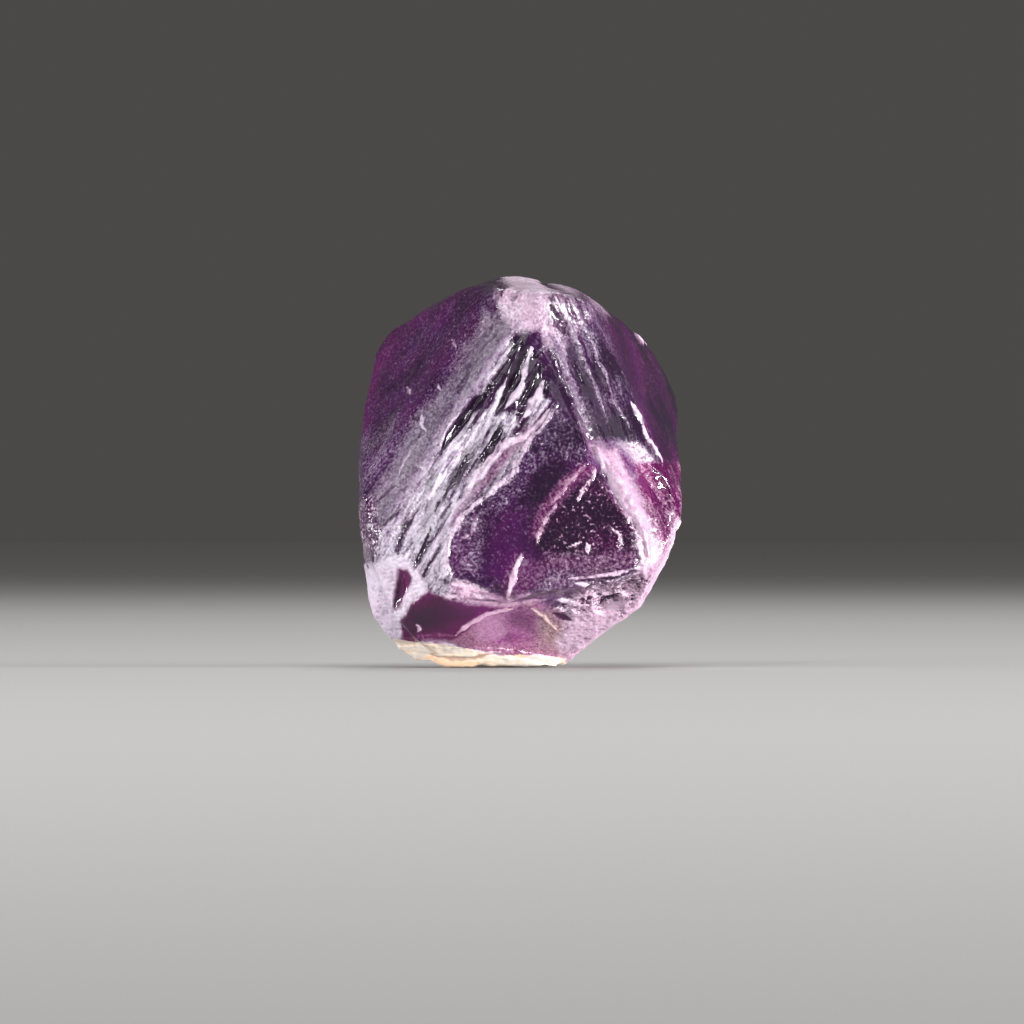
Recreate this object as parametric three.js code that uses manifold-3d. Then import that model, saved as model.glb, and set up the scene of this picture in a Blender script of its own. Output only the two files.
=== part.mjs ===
// A raw purple spinel: one worn octahedral crystal, standing on the flat break at its foot.
// Lengths are millimetres. X runs across the front, Y from front to back and Z up.
// The origin lies at the level of the foot, under the middle of the stone's box.
import * as THREE from "three";
import { ConvexGeometry } from "three/addons/geometries/ConvexGeometry.js";
import { mergeVertices } from "three/addons/utils/BufferGeometryUtils.js";
import Module from "manifold-3d";

const wasm = await Module();
wasm.setup();

// How high the crystal's centre lies above the foot.
const CENTRE_HEIGHT = 6.1;

// How the crystal is turned from a stance with one octahedral face straight to the front, in degrees:
// its top leans to the right, its front face leans back, and it turns towards the right.
const TURN = { roll: 4.5, lean: 4, yaw: 4 };

// The eight octahedral faces: the lattice corner that each looks at, and its distance from the centre.
// The growth was uneven, so the distances differ.
const FACES = {
  front: { corner: [1, 1, 1], distance: 3.7 },
  back: { corner: [-1, -1, -1], distance: 3.9 },
  upperLeft: { corner: [1, -1, 1], distance: 4.6 },
  upperRight: { corner: [-1, 1, 1], distance: 4.55 },
  lowerLeft: { corner: [1, -1, -1], distance: 4.3 },
  lowerRight: { corner: [-1, 1, -1], distance: 4.3 },
  foot: { corner: [1, 1, -1], distance: 6.9 },
  shoulder: { corner: [-1, -1, 1], distance: 5.75 },
};

// Where the crystal's edges and tips are flattened by wear, and the radius that rounds what is left.
const EDGE_WEAR = 0.35;
const TIP_DISTANCE = 6.5;
const WORN_RADIUS = 0.7;
// How many points are added along each side of the balls that round it.
const BALL_DETAIL = 2;

// Broken planes, as an outward direction in the standing frame and a distance from the centre.
const BREAKS = [
  { name: "top cap", toward: [0, -0.16, 0.99], distance: 6 },
  { name: "top left", toward: [-0.29, -0.1, 0.95], distance: 6.05 },
  { name: "top right", toward: [0.26, -0.1, 0.96], distance: 5.92 },
  { name: "right shoulder", toward: [0.6, -0.05, 0.8], distance: 5.72 },
  { name: "left tip", toward: [-0.98, 0, 0.19], distance: 5.14 },
  { name: "lower front", toward: [0.15, -0.61, -0.78], distance: 5.45 },
  { name: "right tip", toward: [0.88, -0.1, -0.47], distance: 5.5 },
  { name: "lower right", toward: [0.56, -0.12, -0.82], distance: 5.8 },
  { name: "lower left", toward: [-0.7, -0.16, -0.7], distance: 6.45 },
];

// Rough masses on the crystal: the corners of each one's core in the standing frame, and the radius
// that rounds it.
const MASSES = [
  {
    name: "lobe at the lower left tip",
    radius: 0.5,
    corners: [
      [-4.45, -2.2, 4.0], [-3.9, -3.3, 3.6], [-3.0, -3.2, 3.0], [-3.0, -2.2, 1.3], [-3.75, -1.7, 1.25],
      [-4.1, -2.0, 1.9], [-4.3, -2.1, 2.6], [-3.9, -0.6, 2.8], [-3.2, -0.4, 1.6],
    ],
  },
  {
    name: "crust under the foot",
    radius: 0.12,
    corners: [
      [-3.75, -1.5, 0.66], [-3.3, -1.95, 0.76], [-2.5, -2.25, 0.72], [-0.7, -2.2, 0.43],
      [0.5, -2.0, 0.18], [1.2, -1.6, 0.0], [-2.65, -1.6, 0.0], [-2.0, -2.0, -0.1], [0.5, -1.85, -0.1],
      [1.3, -0.2, -0.1], [0.9, 1.0, -0.1], [-0.4, 1.5, -0.1], [-1.6, 0.8, -0.1], [-1.7, 0.4, 0.5],
      [0.9, 0.4, 0.4],
    ],
  },
];

// Growth layers on a face: each is thinner than the one below it and steps in from the face's edges.
const LAYERS = [
  { face: "front", count: 5, rise: 0.11, stepIn: { upperLeft: 0.47, upperRight: 0.29, foot: 0.15 } },
  { face: "back", count: 5, rise: 0.08, stepIn: { lowerLeft: 0.5, lowerRight: 0.35, shoulder: 0.6 } },
  { face: "upperRight", count: 2, rise: 0.05, stepIn: { front: 0.4, shoulder: 0.6, lowerRight: 0.8 } },
  { face: "lowerLeft", count: 3, rise: 0.07, stepIn: { back: 0.5, foot: 0.9, upperLeft: 0.4 } },
  { face: "lowerRight", count: 3, rise: 0.07, stepIn: { back: 0.6, foot: 0.8, upperRight: 0.4 } },
  { face: "shoulder", count: 3, rise: 0.07, stepIn: { back: 0.5, upperLeft: 0.6, upperRight: 0.4 } },
];
// How much the steps vary, and the usual step from the edges that a layer doesn't name.
const LAYER_UNEVENNESS = 0.35;
const LAYER_STEP_ELSEWHERE = 0.14;

// Grooves and ridges on the front, as the x and z of the points that each runs through.
const FRONT_GROOVES = [
  { path: [[-0.45, 9.3], [-1.4, 8.1], [-2.35, 6.6]], width: 0.34, depth: 0.2 },
  { path: [[0.3, 10.0], [-0.1, 8.9], [-0.72, 7.8]], width: 0.5, depth: 0.28 },
  { path: [[0.58, 9.3], [0.3, 8.6], [-0.12, 7.9]], width: 0.32, depth: 0.2 },
  { path: [[-0.45, 7.5], [-1.25, 6.4]], width: 0.26, depth: 0.16 },
  { path: [[-1.7, 6.5], [-2.3, 5.6]], width: 0.24, depth: 0.16 },
  { path: [[-1.9, 5.3], [-2.65, 4.2]], width: 0.26, depth: 0.16 },
  { path: [[-2.8, 4.0], [-3.15, 3.1]], width: 0.28, depth: 0.18 },
  { path: [[-3.6, 3.05], [-3.85, 1.8]], width: 0.42, depth: 0.34 },
  { path: [[1.05, 10.9], [1.75, 9.3], [2.5, 7.5]], width: 0.26, depth: 0.14 },
  { path: [[1.9, 10.4], [2.55, 9.0], [3.2, 7.4]], width: 0.24, depth: 0.14 },
  { path: [[2.3, 10.1], [3.1, 8.6], [4.0, 6.7]], width: 0.2, depth: 0.12 },
];
const FRONT_RIDGES = [
  { path: [[-0.9, 10.1], [-1.9, 8.2], [-2.8, 6.3], [-3.6, 4.4]], width: 0.5, depth: 0.14 },
  { path: [[-1.0, 7.9], [-1.7, 7.2], [-2.5, 6.0], [-3.3, 4.2]], width: 0.4, depth: 0.14 },
  { path: [[1.2, 8.1], [0.5, 7.1], [0.0, 6.1], [-0.7, 5.6], [-1.5, 4.9]], width: 0.3, depth: 0.12 },
  { path: [[-1.1, 5.35], [-1.9, 4.6], [-2.25, 3.5], [-2.1, 2.5]], width: 0.34, depth: 0.13 },
  { path: [[0.9, 10.5], [1.45, 8.8], [2.2, 7.1]], width: 0.42, depth: 0.14 },
  { path: [[2.6, 7.1], [3.15, 5.6], [3.95, 3.8], [4.1, 2.8]], width: 0.66, depth: 0.2 },
  { path: [[3.4, 8.1], [4.2, 6.5], [4.75, 5.4]], width: 0.24, depth: 0.1 },
  { path: [[-2.1, 2.3], [-0.6, 2.2], [1.4, 2.6], [3.6, 2.9]], width: 0.4, depth: 0.12 },
];
// How many lengths a groove or ridge is laid in, its sides, and how full its ends still are.
const STRAND_STEPS = 7;
const STRAND_SIDES = 4;
const STRAND_END_FULLNESS = 0.08;

// Shell-shaped chips out of the edges: the point of the edge, from the centre, and the hollow's size.
const CHIPS = [
  { toward: [-5.2, -3.4, -1.3], radius: 0.9, depth: 0.2 },
  { toward: [-5.1, -3.6, -2.4], radius: 0.7, depth: 0.18 },
  { toward: [-5.4, 0.8, 1.4], radius: 1.3, depth: 0.16 },
  { toward: [5.2, -3.2, -1.6], radius: 0.9, depth: 0.18 },
  { toward: [4.8, -3.4, -0.5], radius: 0.7, depth: 0.15 },
  { toward: [5.4, 1.2, 0.3], radius: 1.4, depth: 0.18 },
  { toward: [3.8, 3.0, 4.5], radius: 0.8, depth: 0.15 },
  { toward: [0.5, -3.4, 5.7], radius: 0.6, depth: 0.15 },
  { toward: [1.6, -3.9, -4.0], radius: 0.7, depth: 0.16 },
  { toward: [2.6, -3.8, -4.1], radius: 0.8, depth: 0.2 },
  { toward: [3.4, -3.6, -3.9], radius: 0.7, depth: 0.18 },
  { toward: [2.9, -3.4, -4.7], radius: 0.9, depth: 0.2 },
  { toward: [-2.6, 3.5, -2.6], radius: 1.4, depth: 0.2 },
  { toward: [3.0, 4.1, -0.9], radius: 1.6, depth: 0.2 },
  { toward: [1.2, 4.3, 4.2], radius: 1.2, depth: 0.18 },
  { toward: [-2.9, 1.8, 5.4], radius: 1.1, depth: 0.16 },
];
// How many points are added along each side of the balls that take the chips out.
const CHIP_DETAIL = 1;

// Three-sided etch pits, scattered over the flat faces.
const PITTED_FACES = ["upperLeft", "upperRight", "back", "lowerLeft", "lowerRight", "shoulder"];
const PITS_PER_FACE = 6;
const PIT_SIZE = 0.26;
const PIT_UNEVENNESS = 0.4;
const PIT_DEPTH_TO_SIZE = 0.8;
// The width of the field that a face's pits lie in, seen from the centre, and the field's distance.
const PIT_FIELD = { width: 4.2, distance: 4 };
const PIT_SEED = 31;

const CRYSTAL_COLOUR = 0x6b3474;

// A size beyond the whole stone, for the blocks that cut it.
const BEYOND = 30;
// Points closer than this are one point.
const SAME_POINT = 1e-5;

// The lattice axes for one octahedral face straight to the front and one of its tips at the top.
function latticePose() {
  const side = Math.SQRT1_2;
  const forward = Math.sqrt(1 / 3);
  const drop = Math.sqrt(1 / 6);
  const straight = new THREE.Matrix4().makeBasis(
    new THREE.Vector3(-side, -forward, -drop),
    new THREE.Vector3(side, -forward, -drop),
    new THREE.Vector3(0, -forward, 2 * drop),
  );
  const radians = THREE.MathUtils.degToRad;
  return new THREE.Matrix4()
    .makeRotationZ(radians(TURN.yaw))
    .multiply(new THREE.Matrix4().makeRotationX(-radians(TURN.lean)))
    .multiply(new THREE.Matrix4().makeRotationY(radians(TURN.roll)))
    .multiply(straight);
}

const lattice = latticePose();

// A direction in the standing frame for a lattice direction.
function outward(latticeDirection) {
  return new THREE.Vector3(...latticeDirection).transformDirection(lattice);
}

// A repeatable stream of numbers from 0 to 1.
function numbersFrom(seed) {
  const factor = 16807;
  const modulus = 2 ** 31 - 1;
  const seedSpacing = 7919;
  let state = seed * seedSpacing;
  return () => {
    state = (state * factor) % modulus;
    return state / modulus;
  };
}

// A factor that varies round 1 by the given share.
function uneven(random, share) {
  return 1 + share * (2 * random() - 1);
}

// A closed solid from a three.js geometry.
function solidOf(geometry) {
  geometry.deleteAttribute("normal");
  geometry.deleteAttribute("uv");
  const merged = mergeVertices(geometry, SAME_POINT);
  return new wasm.Manifold(
    new wasm.Mesh({
      numProp: 3,
      vertProperties: merged.attributes.position.array,
      triVerts: new Uint32Array(merged.index.array),
    }),
  );
}

// A three.js geometry from a solid.
function geometryOf(solid) {
  const { vertProperties, triVerts } = solid.getMesh();
  return new THREE.BufferGeometry()
    .setAttribute("position", new THREE.BufferAttribute(vertProperties, 3))
    .setIndex(new THREE.BufferAttribute(triVerts, 1));
}

// The solid without what lies beyond a plane at a distance from the centre.
function cutAt(solid, normal, distance) {
  const turn = new THREE.Quaternion().setFromUnitVectors(new THREE.Vector3(0, 0, 1), normal);
  const block = new THREE.BoxGeometry(BEYOND, BEYOND, BEYOND)
    .translate(0, 0, BEYOND / 2 + distance)
    .applyQuaternion(turn);
  return solid.subtract(solidOf(block));
}

// The solid that a set of planes encloses.
function enclosedBy(planes) {
  const block = solidOf(new THREE.BoxGeometry(BEYOND / 2, BEYOND / 2, BEYOND / 2));
  return planes.reduce((solid, { normal, distance }) => cutAt(solid, normal, distance), block);
}

// Two octahedral faces share an edge when their corners differ in one sign.
function shareEdge(a, b) {
  return a.corner.filter((sign, i) => sign !== b.corner[i]).length === 1;
}

// The planes of the grown crystal: its faces, and its worn edges and tips.
function crystalPlanes() {
  const faces = Object.entries(FACES).map(([name, face]) => ({
    name,
    normal: outward(face.corner),
    distance: face.distance,
  }));
  const all = Object.values(FACES);
  // The distance of the sharp edge between two faces, along the line halfway between their normals.
  const edgeReach = Math.sqrt(3 / 8);
  const edges = all.flatMap((a, i) =>
    all
      .slice(i + 1)
      .filter((b) => shareEdge(a, b))
      .map((b) => ({
        normal: outward(a.corner.map((sign, axis) => sign + b.corner[axis])),
        distance: (a.distance + b.distance) * edgeReach - EDGE_WEAR,
      })),
  );
  const tips = [0, 1, 2].flatMap((axis) =>
    [-1, 1].map((sign) => ({
      normal: outward([0, 1, 2].map((i) => (i === axis ? sign : 0))),
      distance: TIP_DISTANCE,
    })),
  );
  return [...faces, ...edges, ...tips];
}

const planes = crystalPlanes();

// The hull of balls of one radius, one set on each corner.
function roundedHull(corners, radius) {
  const ball = new THREE.OctahedronGeometry(radius, BALL_DETAIL).applyMatrix4(lattice);
  const rim = mergeVertices(ball.deleteAttribute("normal").deleteAttribute("uv")).getAttribute("position");
  const points = corners.flatMap((corner) =>
    Array.from({ length: rim.count }, (_, i) => new THREE.Vector3().fromBufferAttribute(rim, i).add(corner)),
  );
  return solidOf(new ConvexGeometry(points));
}

// The crystal with its edges rounded, from a slightly smaller one.
function wornCrystal() {
  const inner = planes.map(({ normal, distance }) => ({ normal, distance: distance - WORN_RADIUS }));
  const position = geometryOf(enclosedBy(inner)).getAttribute("position");
  const corners = Array.from({ length: position.count }, (_, i) =>
    new THREE.Vector3().fromBufferAttribute(position, i),
  );
  return roundedHull(corners, WORN_RADIUS);
}

// One rough mass.
function mass({ corners, radius }) {
  return roundedHull(corners.map(([x, y, z]) => new THREE.Vector3(x, y, z - CENTRE_HEIGHT)), radius);
}

// The growth layers on one face: the crystal again, with that face moved out and the others in.
function growthLayers({ face, count, rise, stepIn }, index) {
  const random = numbersFrom(index + 1);
  const stepElsewhere = LAYER_STEP_ELSEWHERE * uneven(random, LAYER_UNEVENNESS);
  const insets = Object.fromEntries(Object.keys(stepIn).map((name) => [name, 0]));
  return Array.from({ length: count }, (_, i) => {
    for (const name of Object.keys(insets)) {
      insets[name] += stepIn[name] * uneven(random, LAYER_UNEVENNESS);
    }
    const bounds = planes.map(({ name, normal, distance }) => {
      if (name === face) return { normal, distance: distance + rise * (i + 1) };
      const inset = insets[name] ?? stepElsewhere * (i + 1);
      return { normal, distance: distance - inset };
    });
    return enclosedBy(bounds);
  });
}

// Finds where a line of sight meets the stone, and which way the surface faces there.
function sightOn(solid) {
  const mesh = new THREE.Mesh(geometryOf(solid));
  const ray = new THREE.Raycaster();
  return (from, direction) => {
    ray.set(from, direction);
    const [hit] = ray.intersectObject(mesh);
    return { point: hit.point, normal: hit.face.normal };
  };
}

// A groove or ridge: a spindle that follows the front surface along a path, half in and half out.
function strand(sight, { path, width, depth }) {
  const ahead = new THREE.Vector3(0, 1, 0);
  const seen = new THREE.SplineCurve(path.map(([x, z]) => new THREE.Vector2(x, z - CENTRE_HEIGHT)));
  const hits = seen.getPoints(STRAND_STEPS).map(({ x, y }) => sight(new THREE.Vector3(x, -BEYOND, y), ahead));
  const facing = new THREE.Vector3();
  for (const { normal } of hits) facing.add(normal);
  facing.normalize();
  const along = hits.at(-1).point.clone().sub(hits[0].point).normalize();
  const across = along.cross(facing).normalize();
  const geometry = new THREE.CylinderGeometry(1, 1, 1, STRAND_SIDES, STRAND_STEPS);
  const position = geometry.getAttribute("position");
  const point = new THREE.Vector3();
  for (let i = 0; i < position.count; i++) {
    point.fromBufferAttribute(position, i);
    const step = Math.round((point.y + 0.5) * STRAND_STEPS);
    const fullness = Math.max(STRAND_END_FULLNESS, Math.sin((Math.PI * step) / STRAND_STEPS));
    const [side, out] = [point.x * fullness * (width / 2), point.z * fullness * depth];
    point.copy(hits[step].point).addScaledVector(across, side).addScaledVector(facing, out);
    position.setXYZ(i, ...point);
  }
  return solidOf(geometry);
}

// The point of the stone that lies in a direction from its centre.
function surfaceToward(sight, direction) {
  return sight(direction.clone().multiplyScalar(BEYOND), direction.clone().negate()).point;
}

// The ball that takes a shell-shaped chip out of an edge.
function chip(sight, { toward, radius, depth }) {
  const direction = new THREE.Vector3(...toward).normalize();
  const at = surfaceToward(sight, direction).addScaledVector(direction, radius - depth);
  return solidOf(new THREE.IcosahedronGeometry(radius, CHIP_DETAIL).translate(...at));
}

// Etch pits on one face: small upside-down pyramids whose sides follow the face's own edges.
function pitsOn(sight, name, seed) {
  const random = numbersFrom(seed);
  const { corner } = FACES[name];
  const normal = outward(corner);
  const side = outward([corner[0], -corner[1], 0]);
  const up = normal.clone().cross(side);
  return Array.from({ length: PITS_PER_FACE }, () => {
    const toward = normal
      .clone()
      .multiplyScalar(PIT_FIELD.distance)
      .addScaledVector(side, PIT_FIELD.width * (random() - 0.5))
      .addScaledVector(up, PIT_FIELD.width * (random() - 0.5))
      .normalize();
    const size = PIT_SIZE * uneven(random, PIT_UNEVENNESS);
    const pose = new THREE.Matrix4()
      .makeBasis(side, normal, side.clone().cross(normal))
      .setPosition(surfaceToward(sight, toward))
      .scale(new THREE.Vector3(size, size * PIT_DEPTH_TO_SIZE, size));
    return solidOf(new THREE.ConeGeometry(1, 1, 3).rotateX(Math.PI).applyMatrix4(pose));
  });
}

// The whole stone, standing on its foot with its box centred over the origin.
function spinelGeometry() {
  let stone = wornCrystal();
  for (const layer of LAYERS.flatMap(growthLayers)) stone = stone.add(layer);
  for (const { toward, distance } of BREAKS) {
    stone = cutAt(stone, new THREE.Vector3(...toward).normalize(), distance);
  }
  for (const rough of MASSES.map(mass)) stone = stone.add(rough);
  const sight = sightOn(stone);
  for (const ridge of FRONT_RIDGES) stone = stone.add(strand(sight, ridge));
  const hollows = [
    ...FRONT_GROOVES.map((groove) => strand(sight, groove)),
    ...CHIPS.map((one) => chip(sight, one)),
    ...PITTED_FACES.flatMap((name, i) => pitsOn(sight, name, PIT_SEED + i)),
  ];
  for (const solid of hollows) stone = stone.subtract(solid);
  const down = new THREE.Vector3(0, 0, -1);
  stone = cutAt(stone, down, CENTRE_HEIGHT);
  const [whole] = stone.decompose().sort((a, b) => b.volume() - a.volume());
  const geometry = geometryOf(whole);
  geometry.computeBoundingBox();
  const middle = geometry.boundingBox.getCenter(new THREE.Vector3());
  return geometry.translate(-middle.x, -middle.y, CENTRE_HEIGHT);
}

const crystal = new THREE.Mesh(
  spinelGeometry(),
  new THREE.MeshStandardMaterial({ color: CRYSTAL_COLOUR, roughness: 0.3, metalness: 0 }),
);
crystal.geometry.computeVertexNormals();
crystal.name = "spinel_crystal";

const stone = new THREE.Group();
stone.add(crystal);

export default stone;
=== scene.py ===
import math
from typing import NamedTuple

import bpy
import numpy as np
from bpy.props import FloatProperty, FloatVectorProperty, IntProperty, PointerProperty
from bpy.types import Operator, Panel, PropertyGroup
from mathutils import Matrix, Vector, noise


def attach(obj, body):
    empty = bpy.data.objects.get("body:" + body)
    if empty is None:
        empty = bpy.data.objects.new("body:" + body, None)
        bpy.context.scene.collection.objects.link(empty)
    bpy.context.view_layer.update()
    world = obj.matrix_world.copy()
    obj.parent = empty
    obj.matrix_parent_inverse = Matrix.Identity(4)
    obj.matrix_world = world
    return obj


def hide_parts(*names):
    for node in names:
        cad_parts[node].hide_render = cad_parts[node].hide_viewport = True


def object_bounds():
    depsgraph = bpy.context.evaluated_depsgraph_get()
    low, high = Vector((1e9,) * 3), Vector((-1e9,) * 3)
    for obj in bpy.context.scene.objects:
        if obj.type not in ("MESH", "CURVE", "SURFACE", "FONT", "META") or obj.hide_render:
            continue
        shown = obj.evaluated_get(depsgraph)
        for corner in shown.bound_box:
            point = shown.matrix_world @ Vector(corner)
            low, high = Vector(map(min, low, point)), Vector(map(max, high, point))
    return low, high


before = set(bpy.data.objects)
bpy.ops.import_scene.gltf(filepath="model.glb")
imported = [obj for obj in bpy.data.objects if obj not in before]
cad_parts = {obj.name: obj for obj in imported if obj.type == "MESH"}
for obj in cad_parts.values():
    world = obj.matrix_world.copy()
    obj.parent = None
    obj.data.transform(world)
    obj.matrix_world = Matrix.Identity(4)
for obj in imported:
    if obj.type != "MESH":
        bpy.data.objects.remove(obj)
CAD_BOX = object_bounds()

bl_info = {
    "name": "Raw Spinel Crystal",
    "version": (1, 0, 0),
    "blender": (4, 5, 0),
    "location": "View3D > Sidebar > Spinel",
    "description": "Dresses a raw spinel crystal round its solid and sets it on a studio floor",
    "category": "Add Mesh",
}

MM = 0.001
NODE = "spinel_crystal"

# How the crystal is turned from a stance with one octahedral face straight to the front, in degrees.
TURN = {"roll": 4.5, "lean": 4.0, "yaw": 4.0}

# The picture's scale and width, and the pixels at which the middle of the crystal's box and its foot lie.
PIXELS_PER_MM = 32.0
PICTURE_WIDTH = 1024.0
PICTURE_CENTRE = PICTURE_WIDTH / 2
PICTURE_MIDDLE = 519.5
PICTURE_FOOT = 667.0

# The camera's sensor width in millimetres, and how near and far it sees in metres.
SENSOR_WIDTH = 36.0
CAMERA_REACH = (0.01, 10)

# What is kept of each point's finish. Its shade holds the dark tone of clear places, and painted shade
# in the valleys between ridges and in the pits among flakes.
FINISH_LAYERS = ("frost", "warmth", "shade", "banding", "flaking", "beige")


class Field(NamedTuple):
    """A field of one finish on the crystal's front, with the pixels of its outline in the picture."""

    name: str
    outline: tuple
    frost: float = 0.0
    warmth: float = 0.0
    shade: float = 0.0
    banding: float = 0.0
    flaking: float = 0.0
    fade: float = 4.0
    beige: float = 0.0


class Streak(NamedTuple):
    """A streak on the front, with the pixels that it runs through, its width in them and its rise in mm.

    Its edge is the share of half its width over which it fades.
    """

    name: str
    path: tuple
    width: float
    frost: float = 0.0
    warmth: float = 0.0
    shade: float = 0.0
    rise: float = 0.0
    edge: float = 0.55


# The crust under the foot, as pixels of its outline, and how far it reaches in millimetres.
CRUST_OUTLINE = (
    (394, 638), (413, 641), (440, 643), (470, 648), (500, 655), (520, 654), (545, 655), (566, 658),
    (566, 680), (400, 680), (385, 655),
)
CRUST_REACH = {"back": 2.6, "up": 0.9, "up all round": 0.12}

# Borders that two or more fields share, as pixels: beside the left face, along the window, under the band.
LEFT_FACE_BORDER = ((488, 318), (464, 352), (443, 387), (416, 424), (398, 450), (379, 490), (360, 520))
WINDOW_SIDE = ((546, 424), (530, 445), (514, 471), (483, 495))
WINDOW_END = ((461, 519), (451, 538), (448, 559), (456, 577))
BAND_FOOT = ((440, 600), (400, 640), (366, 600), (352, 560), (375, 550))

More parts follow.
